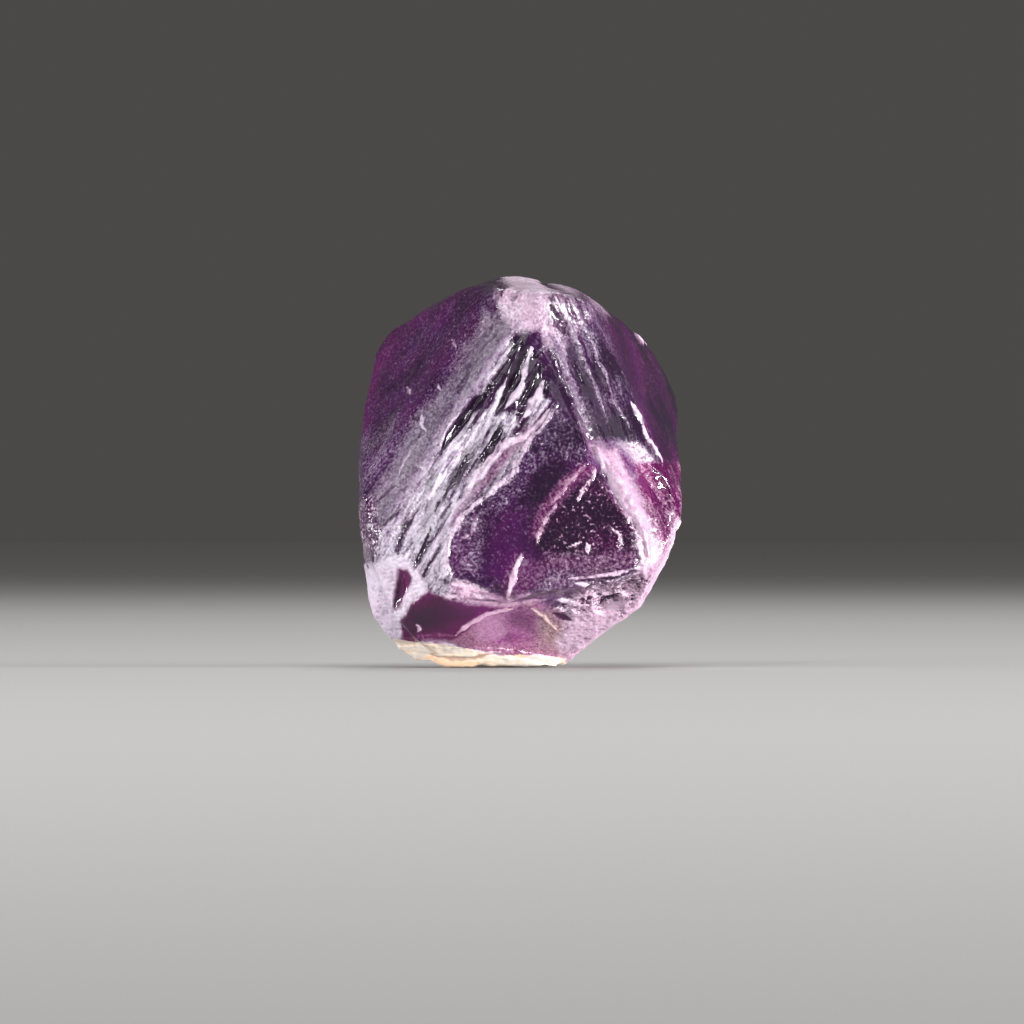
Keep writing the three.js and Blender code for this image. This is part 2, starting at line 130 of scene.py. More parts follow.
# The fields and streaks are laid one over another in this order.
FIELDS = (
    Field("left face", ((490, 262), (501, 281), (497, 299), *LEFT_FACE_BORDER, (330, 520), (330, 262)),
        frost=0.04, warmth=0.12, shade=0.56, flaking=0.45, fade=9),
    Field("reddish edge of the left face", (
        (345, 470), (352, 400), (370, 360), (395, 325), (440, 290), (440, 305), (400, 343), (382, 372),
        (370, 410), (364, 470),
    ), frost=0.04, warmth=0.45, shade=0.38, flaking=0.25, fade=9),
    Field("grey foot of the left face", (
        (416, 424), (398, 450), (379, 490), (360, 525), (345, 525), (345, 440), (375, 430), (395, 415),
    ), frost=0.16, warmth=0.05, shade=0.42, banding=0.2, flaking=0.3, fade=14),
    Field("left grey slope", (
        (501, 281), (520, 300), (515, 335), (495, 360), (470, 400), (440, 450), (400, 510), (375, 560),
        (352, 560), *LEFT_FACE_BORDER[::-1],
    ), frost=0.31, warmth=0.04, shade=0.55, banding=0.1, flaking=0.2, fade=14),
    Field("dark side of the cap", ((486, 284), (501, 281), (505, 300), (502, 322), (486, 318)),
        frost=0.13, warmth=0.1, shade=0.6, banding=0.1, flaking=0.25, fade=8),
    Field("left band", (
        (520, 325), (546, 350), (560, 410), *WINDOW_SIDE, *WINDOW_END, *BAND_FOOT, (400, 510), (440, 450),
        (470, 400), (495, 360),
    ), frost=0.23, warmth=0.08, shade=0.46, banding=1.0, flaking=0.3),
    Field("lower part of the left band", (*WINDOW_END, *BAND_FOOT, (405, 505), (430, 480), (455, 500)),
        frost=0.56, warmth=0.08, shade=0.3, banding=0.9, flaking=0.35, fade=14),
    Field("mauve ribbon beside the inner window", (
        (545, 420), (532, 437), (514, 457), (492, 480), (472, 502), (464, 514), (457, 530), (450, 526),
        (460, 502), (478, 478), (500, 453), (520, 432), (537, 417),
    ), frost=0.33, warmth=0.5, shade=0.3, banding=0.2, flaking=0.2, fade=3),
    Field("apex hollow", (
        (515, 331), (541, 331), (552, 345), (565, 370), (570, 395), (580, 430), (566, 424), (556, 406),
        (541, 398), (528, 405), (512, 412), (497, 418), (498, 400), (508, 372),
    ), frost=0.05, warmth=0.05, shade=0.88, banding=0.12, flaking=0.4, fade=3),
    Field("inner window", (
        (557, 413), *WINDOW_SIDE, *WINDOW_END, (477, 585), (504, 596), (540, 592), (570, 590), (610, 585),
        (636, 572), (639, 556), (636, 540), (626, 519), (610, 498), (591, 466), (583, 434),
    ), frost=0.03, warmth=0.06, shade=0.84, flaking=0.55, fade=3),
    Field("cool haze in the window", (
        (500, 478), (530, 446), (548, 428), (556, 450), (532, 482), (502, 512), (474, 548), (456, 562),
        (452, 540), (465, 515),
    ), frost=0.13, shade=0.66, flaking=0.5, fade=8),
    Field("grey top of the window", (
        (557, 413), (572, 422), (586, 452), (578, 462), (560, 458), (546, 445), (545, 428),
    ), frost=0.15, shade=0.74, flaking=0.5, fade=7),
    Field("dark middle of the window", (
        (556, 462), (567, 474), (558, 496), (546, 520), (536, 528), (528, 512), (534, 488), (545, 470),
    ), warmth=0.1, shade=0.95, flaking=0.5, fade=12),
    Field("grey left end of the window", (
        (462, 518), (480, 514), (484, 545), (480, 577), (456, 575), (449, 548),
    ), frost=0.2, warmth=0.2, shade=0.5, flaking=0.45, fade=6),
    Field("violet patch", ((488, 520), (530, 512), (545, 560), (522, 588), (486, 576)),
        frost=0.01, warmth=0.15, shade=0.6, flaking=0.35, fade=10),
    Field("mauve foot of the window", (
        (514, 554), (536, 559), (557, 566), (574, 577), (575, 604), (530, 604), (500, 604), (506, 577),
    ), frost=0.15, warmth=0.45, shade=0.42, flaking=0.15, fade=7),
    # Its full flaking gives this dark field its dense painted glints.
    Field("sparkling wine field", (
        (599, 469), (578, 488), (560, 505), (546, 522), (538, 545), (550, 552), (575, 555), (600, 552),
        (620, 555), (636, 548), (632, 535), (620, 510), (606, 488),
    ), warmth=0.7, shade=0.94, flaking=1.0, fade=5),
    Field("mauve grain under the wine field", (
        (542, 550), (560, 552), (600, 553), (636, 549), (641, 566), (600, 575), (566, 582), (548, 570),
    ), frost=0.2, warmth=0.6, shade=0.4, flaking=0.4, fade=6),
    Field("pink veil", (
        (557, 482), (585, 462), (597, 468), (572, 490), (550, 515), (538, 540), (530, 535), (540, 505),
    ), frost=0.16, warmth=0.8, shade=0.3, flaking=0.3, fade=5),
    Field("right slope", (
        (583, 281), (592, 298), (612, 342), (634, 398), (650, 446), (660, 465), (640, 445), (612, 440),
        (590, 440), (575, 400), (563, 350), (566, 320),
    ), frost=0.08, shade=0.86, banding=0.25, flaking=0.3, fade=5),
    Field("grey head of the right slope", ((570, 326), (588, 318), (600, 352), (590, 366), (574, 350)),
        frost=0.12, shade=0.78, banding=0.4, flaking=0.4, fade=8),
    Field("dark foot of the right slope", ((600, 405), (628, 402), (640, 438), (606, 438)),
        frost=0.05, shade=0.94, banding=0.2, flaking=0.3, fade=8),
    Field("right face", (
        (590, 270), (710, 280), (710, 470), (665, 468), (652, 444), (636, 396), (613, 340),
    ), frost=0.02, warmth=0.35, shade=0.78, banding=0.06, flaking=0.25, fade=6),
    Field("top cap", (
        (505, 262), (548, 262), (590, 270), (590, 312), (568, 332), (562, 352), (546, 350), (540, 330),
        (520, 335), (505, 320), (499, 300),
    ), frost=0.62, warmth=0.5, shade=0.1, banding=0.15, flaking=0.25, fade=7),
    Field("right part of the cap", (
        (556, 288), (572, 280), (596, 296), (594, 318), (578, 332), (566, 326), (558, 306),
    ), frost=0.48, warmth=0.5, shade=0.15, banding=0.25, flaking=0.2, fade=6),
    Field("shaded fold of the cap", ((545, 286), (572, 288), (578, 330), (563, 346), (550, 322)),
        frost=0.42, warmth=0.5, shade=0.5, banding=0.1, flaking=0.2, fade=8),
    Field("grey hollow of the cap", (
        (550, 303), (582, 299), (588, 314), (580, 328), (573, 344), (560, 342), (552, 322),
    ), frost=0.2, warmth=0.25, shade=0.55, banding=0.35, flaking=0.3, fade=6),
    Field("rosy chips", ((632, 462), (700, 462), (700, 550), (662, 560), (650, 530), (641, 500)),
        frost=0.16, warmth=1.0, shade=0.3, banding=0.25, flaking=0.4, fade=6),
    Field("dull upper end of the chips", ((648, 464), (668, 464), (674, 484), (664, 498), (652, 492)),
        frost=0.1, warmth=1.0, shade=0.4, banding=0.2, flaking=0.3, fade=5),
    Field("chips on the left edge", ((350, 495), (376, 495), (384, 520), (376, 560), (350, 560)),
        frost=0.19, warmth=0.3, shade=0.4, flaking=0.9, fade=5),
    Field("right rim", (
        (675, 520), (700, 530), (700, 560), (650, 620), (600, 660), (555, 680), (540, 662), (575, 645),
        (610, 622), (640, 590), (660, 560),
    ), frost=0.9, warmth=0.8, shade=0.1, flaking=0.45),
    Field("crushed ledge", (
        (530, 600), (560, 588), (600, 580), (640, 573), (650, 580), (625, 612), (590, 632), (560, 635),
        (545, 615),
    ), frost=0.73, warmth=0.65, shade=0.18, flaking=0.95),
    Field("grey shelf", (
        (548, 566), (575, 570), (584, 580), (572, 598), (555, 607), (532, 606), (518, 601), (538, 586),
    ), frost=0.2, warmth=0.2, shade=0.45, banding=0.1, flaking=0.35, fade=4),
    Field("lower pink face", (
        (461, 607), (500, 602), (540, 600), (562, 612), (575, 640), (560, 660), (500, 660), (450, 640),
        (470, 622),
    ), frost=0.28, warmth=1.0, flaking=0.12, beige=0.25, fade=5),
    Field("pale patch in the lower face", ((472, 620), (490, 612), (509, 618), (505, 640), (480, 641)),
        frost=0.44, warmth=0.9, flaking=0.1, fade=6),
    Field("beige facet", ((528, 606), (548, 611), (572, 630), (564, 646), (542, 642), (531, 624)),
        frost=0.5, warmth=0.7, shade=0.18, flaking=0.25, beige=0.8, fade=8),
    Field("mauve hollow of the lower face", (
        (512, 608), (530, 606), (537, 618), (535, 636), (516, 632), (509, 620),
    ), frost=0.2, warmth=0.8, shade=0.2, flaking=0.08, beige=0.5, fade=8),
    Field("pale shoulder beside the foot", (
        (566, 614), (592, 612), (622, 598), (612, 624), (585, 644), (560, 654), (556, 644),
    ), frost=0.95, warmth=0.6, shade=0.05, flaking=0.3, fade=5),
    Field("lower wine face", (
        (424, 588), (451, 599), (493, 607), (504, 609), (483, 617), (461, 633), (451, 640), (404, 640),
        (402, 622), (409, 604),
    ), frost=0.01, warmth=0.95, shade=0.45, flaking=0.15, fade=3),
    Field("dark heart of the lower wine face", (
        (410, 610), (450, 606), (470, 614), (440, 630), (410, 632),
    ), warmth=0.9, shade=0.68, flaking=0.15, fade=9),
    Field("left lobe", (
        (379, 559), (398, 553), (411, 562), (424, 577), (430, 591), (409, 604), (401, 620), (401, 641),
        (380, 640), (360, 609), (360, 575),
    ), frost=0.95, warmth=0.1, shade=0.06, flaking=0.25, fade=3),
    Field("slot in the left lobe", (
        (399, 567), (408, 569), (413, 578), (409, 590), (397, 610), (394, 608), (397, 588),
    ), frost=0.02, warmth=0.8, shade=0.6, fade=2.5),
    Field("head of the right ridge", (
        (584, 450), (600, 443), (622, 445), (634, 458), (632, 474), (620, 484), (604, 468),
    ), frost=0.14, warmth=0.15, banding=0.12, flaking=0.08, fade=10),
    Field("crust", CRUST_OUTLINE, frost=1.0, flaking=0.15, fade=1),
    Field("broad right ridge", (
        (588, 447), (600, 464), (614, 487), (626, 508), (636, 531), (641, 553), (642, 576), (655, 574),
        (655, 552), (649, 525), (638, 500), (630, 480), (624, 464), (618, 450),
    ), frost=0.45, warmth=0.75, banding=0.12, flaking=0.05, fade=4),
)

STREAKS = (
    Streak("main ridge of the left band", (
        (520, 325), (495, 360), (470, 400), (440, 450), (405, 505), (378, 560),
    ), width=28, frost=0.42, warmth=0.08, rise=0.07, edge=1.0),
    Streak("second ridge of the left band", ((490, 405), (462, 450), (430, 495), (405, 545)),
        width=8, frost=0.75, warmth=0.1, rise=0.05),
    Streak("third ridge of the left band", ((512, 440), (485, 470), (455, 510), (430, 560)),
        width=7, frost=0.75, warmth=0.15, rise=0.05),
    Streak("long dark groove", ((508, 362), (499, 383), (482, 400), (466, 415), (452, 436), (442, 456)),
        width=15, frost=0.05, warmth=0.1, shade=0.95, rise=-0.035),
    Streak("wide dark lens", ((524, 345), (517, 365), (514, 385), (505, 400), (495, 418)),
        width=19, frost=0.03, warmth=0.1, shade=0.98, rise=-0.03),
    Streak("narrow dark lens", ((540, 366), (536, 385), (528, 399), (517, 415)),
        width=14, frost=0.03, warmth=0.1, shade=0.98, rise=-0.03),
    Streak("short dark lens", ((502, 428), (492, 445), (481, 461)),
        width=13, frost=0.03, warmth=0.1, shade=0.98, rise=-0.03),
    Streak("groove beside the third ridge", ((470, 455), (452, 482), (436, 510)),
        width=6, frost=0.06, warmth=0.1, shade=0.9, rise=-0.04),
    Streak("outer white blade", ((506, 380), (498, 402), (486, 420)),
        width=8, frost=1.0, warmth=0.1, rise=0.04),
    Streak("upper white blade", ((532, 349), (528, 366), (523, 382)),
        width=11, frost=1.0, warmth=0.2, rise=0.05),
    Streak("middle white blade", ((524, 379), (517, 395), (507, 410)),
        width=10, frost=1.0, warmth=0.2, rise=0.05),
    Streak("lower white blade", ((544, 382), (536, 400), (525, 416)),
        width=13, frost=1.0, warmth=0.3, rise=0.05),
    Streak("bluish knot", ((494, 420), (506, 422), (518, 426)),
        width=28, frost=0.65, rise=0.05, edge=0.9),
    Streak("white field under the knot", ((492, 418), (474, 434), (457, 452), (440, 472)),
        width=24, frost=0.6, warmth=0.05, rise=0.03, edge=0.9),
    Streak("pink line under the knot", ((548, 412), (525, 438), (500, 449), (484, 466), (468, 488)),
        width=10, frost=0.8, warmth=0.4, rise=0.05),
    Streak("bright rim of the inner window", (
        (554, 413), (530, 440), (514, 474), (483, 498), (461, 519), (450, 540), (447, 559), (453, 575),
    ), width=7, frost=0.75, warmth=0.4, rise=0.04),
    Streak("hook in the inner window", ((472, 507), (476, 519), (472, 532), (461, 538)),
        width=5, frost=0.35, warmth=0.3, rise=0.01),
    Streak("right ridge", ((596, 450), (609, 472), (624, 500), (637, 525), (643, 550), (642, 576)),
        width=27, frost=0.62, warmth=0.5, rise=0.1, edge=0.9),
    Streak("foot of the right ridge", ((634, 520), (646, 548), (652, 572)),
        width=14, frost=0.48, warmth=0.7, rise=0.03, edge=0.9),
    Streak("soft ridge of the right slope", ((550, 335), (560, 360), (572, 392), (590, 438)),
        width=20, frost=0.3, warmth=0.1, shade=0.4, rise=0.04, edge=1.0),
    Streak("first light line of the right slope", ((566, 322), (580, 352), (596, 392), (606, 424)),
        width=4, frost=0.32, warmth=0.1, shade=0.35, rise=0.02),
    Streak("second light line of the right slope", ((578, 318), (594, 352), (612, 396), (628, 432)),
        width=4, frost=0.3, warmth=0.15, shade=0.35, rise=0.02),
    Streak("grey outer edge of the right slope", ((578, 299), (604, 331), (626, 376)),
        width=16, frost=0.2, warmth=0.15, shade=0.5, edge=1.0),
    Streak("fine line of the right slope", ((631, 403), (645, 430), (661, 463)),
        width=4, frost=0.95, warmth=0.6, rise=0.03),
    Streak("first line of the veil", ((594, 469), (586, 485), (576, 501)),
        width=6, frost=0.5, warmth=0.7, rise=0.02),
    Streak("second line of the veil", ((583, 466), (566, 484), (552, 504)),
        width=5, frost=0.4, warmth=0.8, rise=0.01),
    Streak("third line of the veil", ((557, 504), (548, 516), (541, 528), (536, 545)),
        width=6, frost=0.5, warmth=0.7, rise=0.02),
    Streak("upright blade", ((521, 553), (514, 575), (506, 600)),
        width=6, frost=0.8, warmth=0.7, rise=0.03),
    Streak("dash in the wine field", ((566, 548), (582, 541)),
        width=4, frost=0.85, warmth=0.6, rise=0.02),
    Streak("blob in the wine field", ((585, 543), (586, 552)), width=6, frost=0.9, warmth=0.4, rise=0.02),
    Streak("curl in the wine field", ((609, 525), (617, 533), (620, 543), (617, 552)),
        width=5, frost=0.85, warmth=0.5, rise=0.02),
    Streak("lower rim of the wine field", ((568, 578), (600, 574), (642, 568)),
        width=5, frost=0.7, warmth=0.6, rise=0.02),
    Streak("line over the lower face", ((450, 582), (472, 588), (504, 599), (532, 592)),
        width=6, frost=0.8, warmth=0.8, rise=0.03),
    Streak("notch in the top cap", ((539, 284), (546, 290), (554, 296)),
        width=9, frost=0.1, warmth=0.2, shade=0.8, rise=-0.08),
    Streak("first groove beside the cap", ((562, 300), (568, 310), (576, 323)),
        width=9, frost=0.2, warmth=0.3, shade=0.5, rise=-0.07, edge=1.0),
    Streak("second groove beside the cap", ((572, 299), (580, 311), (588, 327)),
        width=9, frost=0.16, warmth=0.2, shade=0.6, rise=-0.07, edge=1.0),
    Streak("cleft beside the cap", ((549, 308), (556, 319), (567, 339)),
        width=11, frost=0.14, warmth=0.35, shade=0.7, rise=-0.08),
    Streak("light line over the cleft", ((552, 302), (557, 308), (561, 314)),
        width=4, frost=0.9, warmth=0.6, rise=0.03),
    Streak("dark fleck at the top", ((498, 284), (504, 299)),
        width=8, frost=0.1, warmth=0.2, shade=0.6, rise=-0.04),
    Streak("crack beside the left band", ((397, 486), (380, 500)),
        width=4, frost=0.1, warmth=0.2, shade=0.9, rise=-0.04),
    Streak("crack in the left band", ((402, 510), (386, 526)),
        width=4, frost=0.1, warmth=0.2, shade=0.9, rise=-0.04),
    Streak("shelf under the window", ((465, 596), (498, 603), (518, 603), (545, 598)),
        width=9, frost=0.7, warmth=0.8, edge=0.9),
    Streak("white mark on the lower wine face", ((416, 624), (420, 628), (418, 632)),
        width=5, frost=0.9, warmth=0.6, rise=0.02),
    Streak("light foot of the lower wine face", ((402, 637), (430, 636), (455, 634)),
        width=9, frost=0.14, warmth=0.9, edge=1.0),
    Streak("edge of the lower pink face", ((455, 634), (470, 622), (490, 613), (512, 607)),
        width=6, frost=0.9, warmth=0.9, rise=0.02),
    Streak("dark wedge of the lower face", ((498, 642), (515, 637), (534, 640)),
        width=9, frost=0.15, warmth=1.0, shade=0.2),
    Streak("pit in the beige facet", ((552, 613), (562, 617), (571, 621)),
        width=7, frost=0.04, warmth=0.6, shade=0.7, rise=-0.05),
    Streak("light crack in the beige facet", ((530, 606), (545, 618), (556, 630)),
        width=5, frost=1.0, warmth=0.7, rise=0.03),
    Streak("first shard on the ledge", ((556, 598), (568, 600), (580, 605)),
        width=6, frost=1.0, warmth=0.4, rise=0.03),
    Streak("second shard on the ledge", ((552, 608), (566, 609), (578, 613)),
        width=5, frost=1.0, warmth=0.4, rise=0.03),
    Streak("third shard on the ledge", ((574, 582), (590, 586), (606, 594)),
        width=7, frost=1.0, warmth=0.4, rise=0.03),
    Streak("dark crack in the ledge", ((582, 590), (590, 585), (597, 580)),
        width=5, frost=0.05, warmth=0.5, shade=0.9, rise=-0.05),
    Streak("brown pit in the ledge", ((600, 606), (606, 598), (618, 594)),
        width=8, frost=0.05, warmth=0.6, shade=0.85, rise=-0.05),
    Streak("reddish stain over the foot", ((512, 651), (524, 648), (536, 645)),
        width=6, frost=0.12, warmth=1.0, shade=0.1, edge=0.9),
    Streak("stain on the crust", ((424, 655), (440, 659), (462, 662), (480, 662)),
        width=11, frost=1.0, warmth=0.9),
    Streak("gap between the crust's lobes", ((430, 653), (450, 659), (478, 656), (505, 651)),
        width=4, frost=1.0, warmth=0.7, shade=0.7, rise=-0.07),
    Streak("upper scratch on the right face", ((648, 356), (652, 366), (655, 378)),
        width=3, frost=0.5, warmth=0.5, edge=1.0),
    Streak("lower scratch on the right face", ((656, 408), (661, 420), (665, 434)),
        width=3, frost=0.5, warmth=0.5, edge=1.0),
    Streak("chip on the right outline", ((634, 329), (641, 338), (646, 345)),
        width=8, frost=0.95, warmth=0.7, rise=0.05),
    Streak("dent in the upper chips", ((653, 470), (660, 482), (668, 496)),
        width=13, frost=0.08, warmth=1.0, shade=0.45, rise=-0.07, edge=0.8),
    Streak("light line under the right slope", ((628, 402), (634, 412), (640, 424)),
        width=7, frost=1.0, warmth=0.5, rise=0.04),
    Streak("light fleck beside the band", ((424, 418), (421, 426), (427, 432)),
        width=5, frost=0.65, warmth=0.2, rise=0.02),
    Streak("light fleck at the band's foot", ((412, 452), (406, 462), (400, 474)),
        width=5, frost=0.6, warmth=0.1, rise=0.02),
    Streak("second fleck on the left face", ((453, 341), (456, 348)), width=4, frost=0.55, warmth=0.2),
    Streak("fourth fleck on the left face", ((406, 387), (411, 395)), width=4, frost=0.55, warmth=0.2),
    Streak("sixth fleck on the left face", ((438, 386), (441, 392)), width=4, frost=0.55, warmth=0.2),
    Streak("long crack over the left lobe", ((434, 528), (426, 545), (417, 566)),
        width=6, frost=0.05, warmth=0.2, shade=0.95, rise=-0.05),
    Streak("dark line beside the third ridge", ((470, 460), (459, 477), (450, 491)),
        width=6, frost=0.05, warmth=0.1, shade=0.95, rise=-0.04),
)

# The lights: where each stands as seen from the crystal in degrees and metres, its width and height in
# metres, and its power in watts.
LIGHTS = (
    ("key light", -40, 30, 0.3, (0.2, 0.2), 0.2),
    ("fill light", 52, 24, 0.3, (0.2, 0.2), 0.1),
    ("low left light", -40, 2.5, 0.34, (0.16, 0.03), 1.05),
    ("low right light", 44, 2.5, 0.34, (0.16, 0.03), 1.1),
    ("left side light", -80, 3, 0.34, (0.16, 0.03), 1.6),
    ("right side light", 78, 2, 0.34, (0.16, 0.03), 4.2),
    ("spark light", -30, 42, 0.3, (0.02, 0.02), 0.12),
    ("top light", 10, 66, 0.25, (0.12, 0.12), 0.35),
    ("back light", 170, 55, 0.3, (0.12, 0.12), 0.45),
)

# Points of the CAD mesh nearer than this are merged. Weights up to the least one are left out.
MERGE_DISTANCE = 0.0001 * MM
LEAST_WEIGHT = 0.01

# The finish of clear faces, where warmth and shade have a mean and a spread, and the frost and flaking of
# edges, which vary with the wear.
FACES = {"frost": 0.08, "warmth": (0.35, 0.5), "shade": (0.15, 0.1)}
EDGE_FROST = {"mean": 0.45, "uneven": 0.8, "fine": 0.35, "least": 0.05}
EDGE_FLAKING = {"most": 0.5, "between": (-0.1, 0.4)}

# How far normals point to the front, from -1 to 1, where cells stay small, are cut, and are painted.
FACING_FRONT = {"small cells": 0.3, "cut cells": 0.5, "painted points": (-0.3, -0.1)}

# The flatness up to which an edge is whole, and at which it ends, for its frost and for its wear.
FLAT = {"frost": (0.93, 0.99), "wear": (0.9, 0.98)}

# How often the normals are averaged for the surface's broad direction.
BROAD_ROUNDS = 12

# The heights in millimetres between which wear grows, or at the foot ends, and its rounds of smoothing.
WEAR_HEIGHTS = {"edges": (1.5, 4.0), "cap": (10.6, 11.4), "foot": (1.0, 1.6)}
WEAR_ROUNDS = {"edges": 60, "cap": 150, "foot": 40}

# The height that the cap gets back after its wear, and the crust's worn left corner, in millimetres.
CAP_REGAIN = {"height": 0.17, "between": (10.6, 11.6)}
WORN_CORNER = {"height": 0.24, "to the left": (2.1, 2.95)}

# The last of the eight octahedral faces looks to the front. Most of the window lies on its top layer. The
# window is levelled inside its edge, given in pixels.
FRONT_FACE = 7
TOP_LAYER_PERCENTILE = 60
WINDOW_EDGE = (-3, 2)
WELL_INSIDE = 0.99

# The growth bands as seen from the front: their directions, and the line of pixels that parts them.
LEFT_BAND_DIRECTION = (-0.517, -0.856)
RIGHT_BAND_DIRECTION = (0.42, -0.907)
DIVIDE = {"x": 548, "y": 277, "slope": 0.09}

# The ridges of the bands: waves in a millimetre across and along them, and each one's share.
BAND_RIDGES = ((2.3, 0.2, 0.5), (5.0, 0.4, 0.45), (10.0, 0.9, 0.25))
BAND_WAVES_INWARDS = 0.6
BAND_SEED = 5.0

# How sharp crests are, the share and level of creases among flakes, how high flakes are where there is no
# frost, and how deep they have to be for painted shade in their pits.
CREST = 4
CREASE_SHARE = 0.4
CREASE_LEVEL = 0.8
FLAKES_ON_CLEAR = 0.1
PIT_DEPTH = 0.25

# What full banding and full flaking do to the finish, and to the height in millimetres. The shade of
# banding is painted shade in the valleys between ridges.
BANDING = {"frost": 0.75, "shade": 0.6, "rise": 0.06}
FLAKING = {"frost": 0.8, "rise": 0.08}

# The noises that vary the surface: waves in a millimetre, seed and height.
NOISES = {
    "uneven wear": (0.6, 7.0, 1.0),
    "fine wear": (3.0, 19.0, 1.0),
    "grain": (7.0, 31.0, 1.0),
    "bend of the bands": ((0.3, 0.5, 0.3), 41.0, 0.25),
    "coarse flakes": (3.2, 53.0, 0.8),
    "small flakes": (7.0, 61.0, 0.4),
    "creases between flakes": ((5.0, 5.0, 8.0), 67.0, 1.0),
    "swell": (0.9, 71.0, 0.035),
    "dark clouds": (0.8, 83.0, 0.5),
    "warm clouds": (1.1, 89.0, 0.2),
    "width of the streaks": (2.2, 97.0, 0.6),
    "gaps in the streaks": (4.0, 101.0, 1.1),
}

# How outlines wander in the picture, as waves in a millimetre and pixels, with a seed for each axis.
OUTLINE_WANDER = ((1.6, 2.6), (5.0, 1.3))
WANDER_SEEDS = (3.0, 11.0)

# How strong streaks are along their gaps, how blunt their ends are, and how much dark ones calm the relief.
STREAK_STRENGTH = {"mean": 1.1, "least": 0.5}
BLUNT_END = 0.02
DARK_STREAK_CALM = 0.85

# The noises of the crystal's finish: scale by the millimetre, detail and spread.
FINISH_NOISES = {"streak": (8.0, 2.0, 3.6), "grain": (12.0, 2.0, 5.6), "specks": (9.0, 0.5, 1.0)}

# The slope and start of each line that turns a value of the finish into a strength, and the ramps of the
# specks and painted glints and of roughness. Along the bands, the streaks' noise is stretched.
STRENGTHS = {
    "grain of flaking places": (0.85, 0.15),
    "grain between clear and frosted": (1.7, 0.32),
    "specks and glints of flaking places": (0.9, 0.1),
    "whiteness of frost": (1.06, -0.06),
    "painted shade that grain opens": (1.8, -2.3),
    "bumps of frost": (0.88, 0.12),
}
SPECKS_OF_FLAKING = 0.05
SPECK_AND_GLINT_RAMP = (0.17, 0.28, 0.0, 0.6)
FROST_RAMP = (0.12, 0.6)
BAND_STRETCH = (1.0, 0.16, 0.5)
BUMP_HEIGHT = 0.022 * MM

# The layers of the crust: how they are stretched, their scale, contrast and height.
CRUST_STRETCH = (0.22, 0.4, 2.2)
CRUST_SCALE = 4.0 / MM
CRUST_RAMP = (0.38, 0.55)
CRUST_BUMP_HEIGHT = 0.04 * MM


def lattice_pose():
    """The crystal's lattice axes in the standing frame."""
    side = math.sqrt(1 / 2)
    forward = math.sqrt(1 / 3)
    drop = math.sqrt(1 / 6)
    straight = Matrix(((-side, side, 0), (-forward, -forward, -forward), (-drop, -drop, 2 * drop)))
    yaw = Matrix.Rotation(math.radians(TURN["yaw"]), 3, "Z")
    lean = Matrix.Rotation(-math.radians(TURN["lean"]), 3, "X")
    roll = Matrix.Rotation(math.radians(TURN["roll"]), 3, "Y")
    return yaw @ lean @ roll @ straight


def face_directions():
    """The outward directions of the eight octahedral faces."""
    pose = lattice_pose()
    signs = (-1, 1)
    corners = [Vector((x, y, z)).normalized() for x in signs for y in signs for z in signs]
    return np.array([pose @ corner for corner in corners])


def flatness_of(directions):
    """How nearly each direction is that of an octahedral face: 1 where it is."""
    return (directions @ face_directions().T).max(axis=1)


def seen_from_front(points):
    """The pixels of the picture in which points in millimetres are seen."""
    across = PICTURE_MIDDLE + PIXELS_PER_MM * points[:, 0]
    down = PICTURE_FOOT - PIXELS_PER_MM * points[:, 2]
    return np.stack((across, down), axis=1)


def smooth_step(low, high, values):
    """0 below low, 1 above high, and a smooth rise between them."""
    share = np.clip((values - low) / (high - low), 0, 1)
    return share * share * (3 - 2 * share)


def spread_along_edges(values, edges, rounds):
    """Values averaged with those of the neighbouring points, round by round."""
    neighbours = np.bincount(edges.ravel(), minlength=len(values))[:, None] + 1
    for _ in range(rounds):
        total = values.copy()
        for column in range(values.shape[1]):
            for near, far in ((0, 1), (1, 0)):
                weights = values[edges[:, far], column]
                total[:, column] += np.bincount(edges[:, near], weights, minlength=len(values))
        values = total / neighbours
    return values


def segment_distance(points, start, end):
    """How far points lie from a segment, and the share of the segment at which each is nearest."""
    along = end - start
    share = np.clip((points - start) @ along / (along @ along), 0, 1)
    nearest = start + share[:, None] * along
    return np.linalg.norm(points - nearest, axis=1), share


def outline_distance(points, outline):
    """How far points lie inside a closed outline. Outside it, the distance is negative."""
    corners = np.array(outline, float)
    distance = np.full(len(points), np.inf)
    inside = np.zeros(len(points), bool)
    for start, end in zip(corners, np.roll(corners, -1, axis=0)):
        distance = np.minimum(distance, segment_distance(points, start, end)[0])
        crosses = (start[1] > points[:, 1]) != (end[1] > points[:, 1])
        rise = end[1] - start[1] if end[1] != start[1] else 1.0
        edge_x = start[0] + (points[:, 1] - start[1]) / rise * (end[0] - start[0])
        inside ^= crosses & (points[:, 0] < edge_x)
    return np.where(inside, distance, -distance)


def streak_fullness(points, path, width, edge):
    """1 along the middle of a streak, falling to 0 at its sides and ends."""
    corners = np.array(path, float)
    lengths = np.linalg.norm(np.diff(corners, axis=0), axis=1)
    reached = np.concatenate(([0], np.cumsum(lengths))) / lengths.sum()
    best = np.full(len(points), np.inf)
    place = np.zeros(len(points))
    for i in range(len(corners) - 1):
        distance, share = segment_distance(points, corners[i], corners[i + 1])
        nearer = distance < best
        best[nearer] = distance[nearer]
        place[nearer] = (reached[i] + share * (reached[i + 1] - reached[i]))[nearer]
    taper = np.sqrt(np.clip(np.sin(np.pi * np.clip(place, BLUNT_END, 1 - BLUNT_END)), 0, 1))
    return smooth_step(0, edge, 1 - best / (width / 2 * taper))


def waves_at(points, waves, seed):
    """Smooth noise from -1 to 1 at each point, with its waves in a millimetre, which may differ by axis."""
    scaled = points * np.array(waves) + seed
    return np.array([noise.noise(Vector(point)) for point in scaled])


def noise_at(points, name):
    """One of the named noises at each point, as high as its height."""
    waves, seed, height = NOISES[name]
    return height * waves_at(points, waves, seed)


